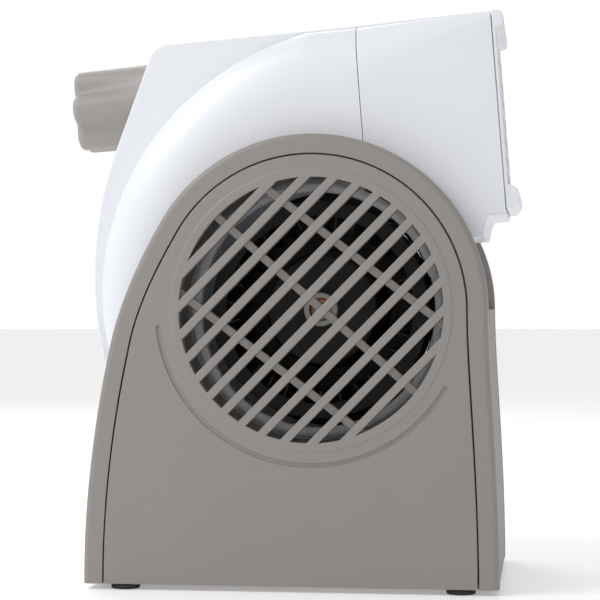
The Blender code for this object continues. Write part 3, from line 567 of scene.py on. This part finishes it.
def head_outline():
    """Round the housing from past the top of the front seam: flat top, rear slope, belly, drum."""
    rear_start, rear_end = (-87.4 * MM, 79.8 * MM), (-101 * MM, -10 * MM)
    corner_radius = 7.5 * MM
    centre = (-60.8 * MM, HEAD_TOP - corner_radius)
    front = SEAM_X + SEAM_OVERRUN
    top = [(front + (centre[0] - front) * i / 34, HEAD_TOP) for i in range(34)]
    corner = arc(corner_radius, 90, 180 - REAR_LEAN, 11, centre)
    slope = [
        tuple(a + (b - a) * i / 12 for a, b in zip(corner[-1], rear_start)) for i in range(1, 12)
    ]
    rear = flank(rear_start, (-97.5 * MM, 58 * MM), (-105.5 * MM, 26 * MM), rear_end, count=32)
    start = math.degrees(math.atan2(rear_end[1], rear_end[0])) % 360
    radius = math.hypot(*rear_end)
    belly = []
    for i in range(1, 48):
        t = i / 48
        eased = t * t * (3 - 2 * t)
        belly += arc(radius + (DRUM_RADIUS - radius) * eased, start + (295 - start) * t, 0, 2)[:1]
    seam_angle = math.degrees(math.acos(SEAM_X / DRUM_RADIUS))
    drum = arc(DRUM_RADIUS, 295, 360 + seam_angle, 64)
    return top + corner + slope + rear + belly + drum


def head_section(x, z):
    """The housing's wall cut on the half-plane through the axis and one point of its outline."""
    outer = math.hypot(x, z)
    angle = math.degrees(math.atan2(z, x)) % 360
    beyond = SCROLL_END_ANGLE - (angle if angle > 60 else angle + 360)
    scroll = (SCROLL_BASE + SCROLL_RISE * beyond + SCROLL_CURVE * beyond * beyond) * MM
    edge = min(scroll, outer - EDGE_MARGIN)
    boxed = max(0, min(1, (outer - 80 * MM) / (12 * MM)))
    full = SCROLL_Y - 0.2 * MM
    edge_y = full - (full - BOX_Y) * boxed
    flat = max(FLAT_MIN, edge - SHOULDER)
    turns = [math.radians(8 + 9 * i) for i in range(9)]
    dome = [
        (flat + (edge - flat) * math.sin(t), edge_y + (SCROLL_Y - edge_y) * math.cos(t)) for t in turns
    ]
    rim = [math.radians(15 * i) for i in range(7)]
    rounded = [
        (outer - RIM_ROUND * (1 - math.sin(t)), edge_y - RIM_ROUND * (1 - math.cos(t))) for t in rim
    ]
    lip = [math.radians(22.5 * i) for i in range(5)]
    collar = [
        (COLLAR_OUTER - LIP_ROUND * (1 - math.sin(t)), COLLAR_Y - LIP_ROUND * (1 - math.cos(t)))
        for t in lip
    ]
    within = edge_y - HEAD_WALL
    section = [
        (INLET_RADIUS, INLET_Y),
        (COLLAR_INNER - 0.8 * MM, INLET_Y),
        (COLLAR_INNER, INLET_Y + 0.8 * MM),
        (COLLAR_INNER, COLLAR_Y - 0.4 * MM),
        (COLLAR_INNER + 0.4 * MM, COLLAR_Y),
        *collar,
        (COLLAR_OUTER, SCROLL_Y),
        (flat, SCROLL_Y),
        *dome,
        (edge, edge_y),
        *rounded,
        (outer, SPLIT_GAP + 0.2 * MM),
        (outer - 0.2 * MM, SPLIT_GAP),
        (outer - HEAD_WALL, SPLIT_GAP),
        (outer - HEAD_WALL, within - 0.3 * MM),
        (edge - 3 * MM, within),
        (flat - 1 * MM, SCROLL_Y - HEAD_WALL),
        (COLLAR_OUTER + 0.2 * MM, SCROLL_Y - HEAD_WALL),
        (COLLAR_OUTER + 0.2 * MM, INLET_Y - HEAD_WALL),
        (INLET_RADIUS, INLET_Y - HEAD_WALL),
    ]
    cos, sin = x / outer, z / outer
    return [(r * cos, -y, r * sin) for r, y in section]


def block(low, high):
    """A plain box, for cutting with."""
    outline = [(low[0], low[2]), (high[0], low[2]), (high[0], high[2]), (low[0], high[2])]
    return slab(bmesh.new(), outline, low[1], high[1])


def disc(radius, half):
    """A profile that spins into a solid disc."""
    return [(0, -half), (radius, -half), (radius, half), (0, half)]


def head_moulding():
    bm = bmesh.new()
    rows = [head_section(x, z) for x, z in head_outline()]
    swept(bm, rows + rows[:1])
    bmesh.ops.remove_doubles(bm, verts=bm.verts, dist=0.002 * MM)
    bmesh.ops.recalc_face_normals(bm, faces=bm.faces)
    air = block((20 * MM, -42 * MM, 39 * MM), (95 * MM, 0, 72 * MM))
    past_seam = block((SEAM_X, -60 * MM, 55 * MM), (60 * MM, 60 * MM, 140 * MM))
    past_seam = carved(past_seam, turned(bmesh.new(), disc(DRUM_RADIUS, 70 * MM), 256))
    well = turned(bmesh.new(), [(0, -60 * MM), (WELL_OUTER, -60 * MM), (WELL_OUTER, 2 * MM), (0, 2 * MM)])
    rearward = Matrix.Translation((KNOB_FLOOR_X + HEAD_WALL, 0, KNOB_Z))
    rearward = rearward @ Matrix.Rotation(-math.pi / 2, 4, "Z")
    bmesh.ops.transform(well, matrix=rearward, verts=well.verts)
    return carved(bm, air, past_seam, well)


GLOSS_WHITE = material("soft_gloss_white", moulded(BLUE_WHITE, 0.3, 1200, 0.12, 0.012), IOR=1.5)
for hand in ("right", "left"):
    piece(
        head_moulding(), f"{hand}_scroll_moulding", GLOSS_WHITE, "head",
        [f"{hand}_head_shell"], HEAD, mirror=hand == "left",
    )

# ------------------------------------------------------------------ outlet duct
# A white duct slips over the housing's mouth at a narrow seam. Its corners start as wide as the
# volute's dome and tighten to a plain rectangle, and its floor curls up under the lip.

MOUTH_X = 88.6 * MM
DUCT_START = SEAM_X + 0.3 * MM
DUCT_WALL = 2.4 * MM
DUCT_FLOOR, INNER_FLOOR = 35.6 * MM, 38.4 * MM
CURL_START, CURL_LENGTH, CURL_DROP = 82 * MM, 4 * MM, 9 * MM
CORNER_ROUND = 1.5 * MM


def duct_section(x, inset=0.0):
    along = (x - SEAM_X) / (MOUTH_X - SEAM_X)
    half = SCROLL_Y - 2 * MM * along - inset
    drop_y = (SCROLL_Y - BOX_Y) * (1 - along) + 3 * MM * along
    drop_z = (SHOULDER - 0.8 * MM) * (1 - along) + 3 * MM * along
    brim = HEAD_TOP - EDGE_MARGIN * (1 - along) - 0.1 * MM - inset
    floor = DUCT_FLOOR - CURL_DROP * max(0, min(1, (CURL_START - x) / CURL_LENGTH)) ** 2
    if inset > MM:
        floor = INNER_FLOOR
    corner = [
        (half - drop_y * (1 - math.cos(t)), brim - drop_z * (1 - math.sin(t)))
        for t in (math.radians(7.5 * i) for i in range(13))
    ]
    corner.append((half - drop_y - 0.1 * MM, HEAD_TOP - inset))
    foot = [
        (half - CORNER_ROUND * (1 - math.sin(t)), floor + CORNER_ROUND * (1 - math.cos(t)))
        for t in (math.radians(15 * i) for i in range(7))
    ]
    right = foot + corner
    return [(x, -y, z) for y, z in right] + [(x, y, z) for y, z in reversed(right)]


def duct_body(places, inset=0.0):
    """A closed loft of the duct's section; each place may be drawn in a little at the ends."""
    bm = bmesh.new()
    first, last = swept(bm, [duct_section(x, inset + draw) for x, draw in places])
    for edges in (first, last):
        bmesh.ops.edgeloop_fill(bm, edges=edges)
    bmesh.ops.recalc_face_normals(bm, faces=bm.faces)
    return bm


places = [(DUCT_START, 0.35 * MM), (DUCT_START + 0.1 * MM, 0.1 * MM), (DUCT_START + 0.35 * MM, 0)]
places += [(v * MM, 0) for v in (33, 39, 45, 52, 59, 66, 73)]
places += [((78 + 0.25 * i) * MM, 0) for i in range(17)]
places += [(85 * MM, 0), (MOUTH_X - 0.4 * MM, 0), (MOUTH_X - 0.1 * MM, 0.1 * MM), (MOUTH_X, 0.4 * MM)]
air = duct_body([(v * MM, 0) for v in (20, 40, 60, 80, 95)], DUCT_WALL)
drum = turned(bmesh.new(), disc(DRUM_RADIUS + 0.3 * MM, 60 * MM), 256)
duct = carved(duct_body(places), air, drum)
piece(duct, "duct_moulding", GLOSS_WHITE, "head", ["outlet_duct"], HEAD)

# ------------------------------------------------------------------ outlet grille
# A white frame closes the mouth: a brow over it, a round lip under it, and level bars held by
# three posts, moulded in one and clipped to the duct.

FRONT_X = MOUTH_X + 0.3 * MM
FRAME_HALF = 44.6 * MM
STRIP_WIDTH, POST_HALF, POST_PLACES = 3 * MM, 0.9 * MM, (-21 * MM, 0, 21 * MM)
OPEN_LOW, OPEN_HIGH = 42 * MM, 122 * MM
BAR_COUNT, BAR_PITCH, FIRST_BAR_Z = 7, 9.2 * MM, 57 * MM


def bar(outline, low, high, width, segments=3, sharper=30):
    return soften(slab(bmesh.new(), outline, low, high), width, segments, sharper)


brow = [
    (FRONT_X, 117.8 * MM), (FRONT_X + 1.6 * MM, 117.8 * MM), (FRONT_X + 1.6 * MM, 119 * MM),
    (FRONT_X + 4.9 * MM, 119.5 * MM), (FRONT_X + 5.2 * MM, 124.5 * MM), (FRONT_X + 4 * MM, 126.2 * MM),
    (FRONT_X, 126.6 * MM),
]
roll = arc(5.4 * MM, -80, 80, 25, (FRONT_X + 0.9 * MM, 43.5 * MM))
lip = [(FRONT_X, 38 * MM)] + roll + [(FRONT_X, 49 * MM)]
bars = [
    bar(brow, -FRAME_HALF, FRAME_HALF, 0.5 * MM),
    bar(lip, -FRAME_HALF, FRAME_HALF, 0.5 * MM, 3, 50),
]
for y in (-FRAME_HALF + 0.05 * MM, FRAME_HALF - 3.05 * MM):
    low, high = (FRONT_X, y, OPEN_LOW), (FRONT_X + 1.5 * MM, y + STRIP_WIDTH, OPEN_HIGH)
    bars.append(soften(block(low, high), 0.35 * MM))
for i in range(BAR_COUNT):
    z = FIRST_BAR_Z + i * BAR_PITCH
    blade = [
        (FRONT_X + 0.1 * MM, z), (FRONT_X + 1.4 * MM, z + 0.2 * MM),
        (FRONT_X + 1.4 * MM, z + 2 * MM), (FRONT_X + 0.1 * MM, z + 1.8 * MM),
    ]
    bars.append(bar(blade, MM - FRAME_HALF, FRAME_HALF - MM, 0.3 * MM))
for y in POST_PLACES:
    low = (FRONT_X + 0.2 * MM, y - POST_HALF, OPEN_LOW)
    high = (FRONT_X + 1.3 * MM, y + POST_HALF, OPEN_HIGH)
    bars.append(soften(block(low, high), 0.3 * MM))
piece(joined(*bars), "outlet_frame", GLOSS_WHITE, "head", ["outlet_grille"], HEAD)

# ------------------------------------------------------------------ inlet ring, wheel and hub
# A white rolled ring leads the air into a black forward-curved wheel: thirty blades between a
# cupped back plate and a rim. A pale hub ring locks a bronze insert on the motor's steel shaft.

lip_profile = [
    (56.2, -31.5), (56.2, -28.6), (53.4, -28.6), (53.4, -33), (53.7, -33.7), (54.6, -34.2), (56, -34.4),
    (57.2, -34.2), (57.9, -33.5), (58, -32.6), (57.6, -31.5),
]
inlet = turned(bmesh.new(), [(r * MM, y * MM) for r, y in lip_profile], 144)
inlet = soften(inlet, 0.3 * MM, 3, 40)
piece(inlet, "rolled_inlet", GLOSS_WHITE, "head", ["inlet_ring"], HEAD)

WHEEL_RADIUS = 50 * MM
BLADE_COUNT = 30
hat_profile = [
    (5.9, -14), (24, -14), (25.4, -13.4), (26, -12), (28, 23.2), (29, 24), (50, 24), (50, 26), (26, 26),
    (24, -11), (5.9, -11.2),
]
hat = soften(turned(bmesh.new(), [(r * MM, y * MM) for r, y in hat_profile], 120), 0.3 * MM, 2, 40)
rim_profile = [(43, -26), (WHEEL_RADIUS / MM, -26), (WHEEL_RADIUS / MM, -24), (43, -24)]
rim = soften(turned(bmesh.new(), [(r * MM, y * MM) for r, y in rim_profile], 120), 0.4 * MM, 2, 40)
section = [
    (x + 41.3 * MM, z - 7.2 * MM) for x, z in arc(10 * MM, 115, 45, 9) + arc(8.9 * MM, 45, 115, 9)
]
blades = soften(slab(bmesh.new(), section, -25 * MM, 25 * MM), 0.25 * MM, 2, 50)
bmesh.ops.spin(
    blades, geom=list(blades.verts) + list(blades.edges) + list(blades.faces), cent=(0, 0, 0),
    axis=(0, 1, 0), dvec=(0, 0, 0), angle=math.tau * (BLADE_COUNT - 1) / BLADE_COUNT,
    steps=BLADE_COUNT - 1, use_merge=False, use_normal_flip=False, use_duplicate=True,
)
piece(joined(hat, rim, blades), "blower_wheel", SATIN_BLACK, "wheel", ["impeller"], HEAD)


def metal(colour, gloss, scale):
    """Turned or plated metal: fine tool lines, a thin dull bloom and small stains."""

    def build(wire, place):
        stretch = wire.node("Mapping", {}, {"Vector": place, "Scale": (1, 9, 1)})
        lines = wire.noise(stretch, scale, 4, 0.6)
        bloom = wire.ramp(wire.noise(place, 160, 4), (0.4, 0), (0.75, 1))
        bump = wire.node("Bump", {}, {"Height": lines, "Strength": 0.25, "Distance": 0.02 * MM})
        return {
            "Base Color": wire.mix(bloom, tinted(colour, 1), tinted(colour, 0.74)),
            "Roughness": gloss + 0.1 * lines + 0.16 * bloom,
            "Normal": bump,
        }

    return build


BRONZE = material("sintered_bronze", metal((0.5, 0.25, 0.12), 0.3, 700), Metallic=1)
ZINC = material("zinc_plated_steel", metal((0.62, 0.62, 0.62), 0.25, 600), Metallic=1)
CAN_STEEL = material("rolled_can_steel", metal((0.32, 0.32, 0.33), 0.35, 300), Metallic=1)


def sleeve(bore, radius, near, far, width):
    """A plain turned ring, or a pin if its bore is nothing, with rounded ends."""
    corners = [(bore, near), (radius, near), (radius, far), (bore, far)]
    return soften(turned(bmesh.new(), [(r * MM, y * MM) for r, y in corners], 72), width * MM)


insert = sleeve(2.8, 5, -17, -11.5, 0.3)
piece(insert, "bronze_insert", BRONZE, "wheel", ["hub_insert"], HEAD)
collar = sleeve(5.3, 7.8, -21, -14.3, 0.5)
piece(collar, "hub_collar", WAXY, "wheel", ["hub_ring"], HEAD)
spindle = sleeve(0, 2.5, -22.5, -3, 0.4)
piece(spindle, "steel_spindle", ZINC, "wheel", ["motor_shaft"], HEAD)

# ------------------------------------------------------------------ speed knob and its well
# The rear slope has a round white cup for a six-lobed knob in a warmer grey, pushed on the
# switch's steel shaft. Its flutes are deep at the tip and fade towards the foot.

KNOB_LENGTH = 37.6 * MM
KNOB_RADIUS = 20.6 * MM
KNOB_LOBES = 6
FLUTE_DEPTH = 4.8 * MM
KNOB_FOOT = 1.6 * MM
TIP_ROUND = 3 * MM
KNOB = HEAD @ Matrix.Translation((KNOB_FLOOR_X, 0, KNOB_Z))


def knob_row(reach, grow, flute, draw):
    row = []
    for i in range(180):
        turn = math.tau * i / 180
        wave = 0.5 - 0.5 * math.cos(KNOB_LOBES * turn)
        radius = grow * (KNOB_RADIUS - flute * FLUTE_DEPTH * (1 - wave) ** 1.5) - draw
        row.append((-reach, radius * math.sin(turn), radius * math.cos(turn)))
    return row


def knob_grip():
    bm = bmesh.new()
    rows = [knob_row(KNOB_FOOT, 1.02, 0.15, 0.5 * MM), knob_row(KNOB_FOOT + 0.4 * MM, 1.02, 0.15, 0)]
    shaft = KNOB_LENGTH - TIP_ROUND
    for i in range(17):
        t = i / 16
        reach = 3 * MM + (shaft - 3 * MM) * t
        flare = 0.02 * max(0, 1 - reach / (5 * MM)) ** 2
        rows.append(knob_row(reach, 1 + flare - 0.015 * t, 0.18 + 0.82 * t ** 0.85, 0))
    for i in range(1, 8):
        turn = math.radians(90 * i / 7)
        reach = shaft + TIP_ROUND * math.sin(turn)
        rows.append(knob_row(reach, 0.985, 1, TIP_ROUND * (1 - math.cos(turn))))
    first, last = swept(bm, rows)
    for edges in (first, last):
        bmesh.ops.edgeloop_fill(bm, edges=edges)
    bmesh.ops.recalc_face_normals(bm, faces=bm.faces)
    return bm


SATIN_KNOB = material("satin_knob_grey", moulded((0.315, 0.293, 0.278), 0.45, 1500, 0.3))
piece(knob_grip(), "lobed_grip", SATIN_KNOB, "knob", ["speed_knob"], KNOB)

REARWARD = KNOB @ Matrix.Rotation(-math.pi / 2, 4, "Z")
cup = WELL_OUTER - 0.3 * MM
cup_profile = [
    (cup, -24 * MM), (cup, 1.8 * MM), (5 * MM, 1.8 * MM), (5 * MM, 0), (cup - 2.6 * MM, 0),
    (cup - 1.9 * MM, -0.3 * MM), (cup - 1.6 * MM, -1 * MM), (cup - 1.6 * MM, -24 * MM),
]
well = turned(bmesh.new(), cup_profile, 128)
bmesh.ops.transform(well, matrix=HEAD.inverted() @ REARWARD, verts=well.verts)
slope_line = [
    (-71 * MM, 116.2 * MM), (-87.3 * MM, 81.2 * MM), (-95 * MM, 64.7 * MM), (-130 * MM, 64 * MM),
    (-130 * MM, 140 * MM), (-59.9 * MM, 140 * MM),
]
trim = slab(bmesh.new(), slope_line, -40 * MM, 40 * MM)
piece(carved(well, trim), "knob_cup", GLOSS_WHITE, "head", ["knob_well"], HEAD)

# ------------------------------------------------------------------ what is carried over
# The screws, motor, switch and other small or hidden pieces keep the shape they have and take
# their finish here.

finishes = {
    "cord_gland": SATIN_BLACK,
    "right_pivot_ring": WAXY,
    "left_pivot_ring": WAXY,
    "cutoff_tongue": GLOSS_WHITE,
    "motor": CAN_STEEL,
    "motor_mount": SATIN_BLACK,
    "speed_switch": SATIN_BLACK,
    "switch_nut": ZINC,
    "switch_shaft": ZINC,
}
for node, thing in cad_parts.items():
    finish = ZINC if "screw" in node else finishes.get(node)
    if finish:
        thing.data.materials.clear()
        thing.data.materials.append(finish)

# ------------------------------------------------------------------ studio
# A pale floor, a white backdrop that only the camera sees, an even white surround and two soft
# lights, with the camera a little to the front of square on to the right side.

floor_mesh = bmesh.new()
bmesh.ops.create_circle(floor_mesh, cap_ends=True, segments=96, radius=9)
ground = raw(floor_mesh, "floor")


def paper(wire, place):
    tone = wire.noise(place, 6, 2)
    return {
        "Base Color": wire.mix(tone, (0.9, 0.9, 0.9, 1), (0.93, 0.93, 0.93, 1)),
        "Roughness": 0.3 + 0.05 * tone,
    }


glow = {"Emission_Color": (1, 1, 1, 1), "Emission_Strength": 0.26}
ground.data.materials.append(material("studio_floor", paper, **glow))

backdrop = bmesh.new()
bmesh.ops.create_icosphere(backdrop, subdivisions=4, radius=8)
screen = raw(backdrop, "backdrop")
screen.data.shade_smooth()
for rays in ("diffuse", "glossy", "shadow", "transmission"):
    setattr(screen, f"visible_{rays}", False)


def lit_paper(wire, place):
    return {"Emission Color": wire.mix(wire.noise(place, 0.5, 1), (1, 1, 1, 1), (0.99, 0.99, 1, 1))}


dull = {"Base_Color": (0, 0, 0, 1), "Roughness": 1, "Specular_IOR_Level": 0}
screen.data.materials.append(material("lit_paper", lit_paper, Emission_Strength=1.02, **dull))

world = bpy.data.worlds.new("surround")
world.use_nodes = True
world.node_tree.nodes["Background"].inputs["Color"].default_value = (1, 1, 1, 1)
world.node_tree.nodes["Background"].inputs["Strength"].default_value = 0.64
bpy.context.scene.world = world
bpy.context.scene.view_settings.view_transform = "Standard"

LIGHTS = (
    ("key", (-0.62, -0.42, 0.78), 0.5, 4.6),
    ("rear", (-0.5, 0.9, 0.9), 0.8, 5),
)
for name, spot, size, power in LIGHTS:
    data = bpy.data.lights.new(name, "AREA")
    data.size = size
    data.energy = power
    lamp = bpy.data.objects.new(name, data)
    lamp.location = spot
    lamp.rotation_euler = (PIVOT - Vector(spot)).to_track_quat("-Z", "Y").to_euler()
    bpy.context.scene.collection.objects.link(lamp)

camera_data = bpy.data.cameras.new("camera")
camera_data.lens = 119.5
camera_data.sensor_width = 36
camera = bpy.data.objects.new("camera", camera_data)
camera.location = (0.1178, -0.932, 0.129)
aim = Vector((0.0091, -0.062, 0.129)) - camera.location
camera.rotation_euler = aim.to_track_quat("-Z", "Y").to_euler()
bpy.context.scene.collection.objects.link(camera)
bpy.context.scene.camera = camera
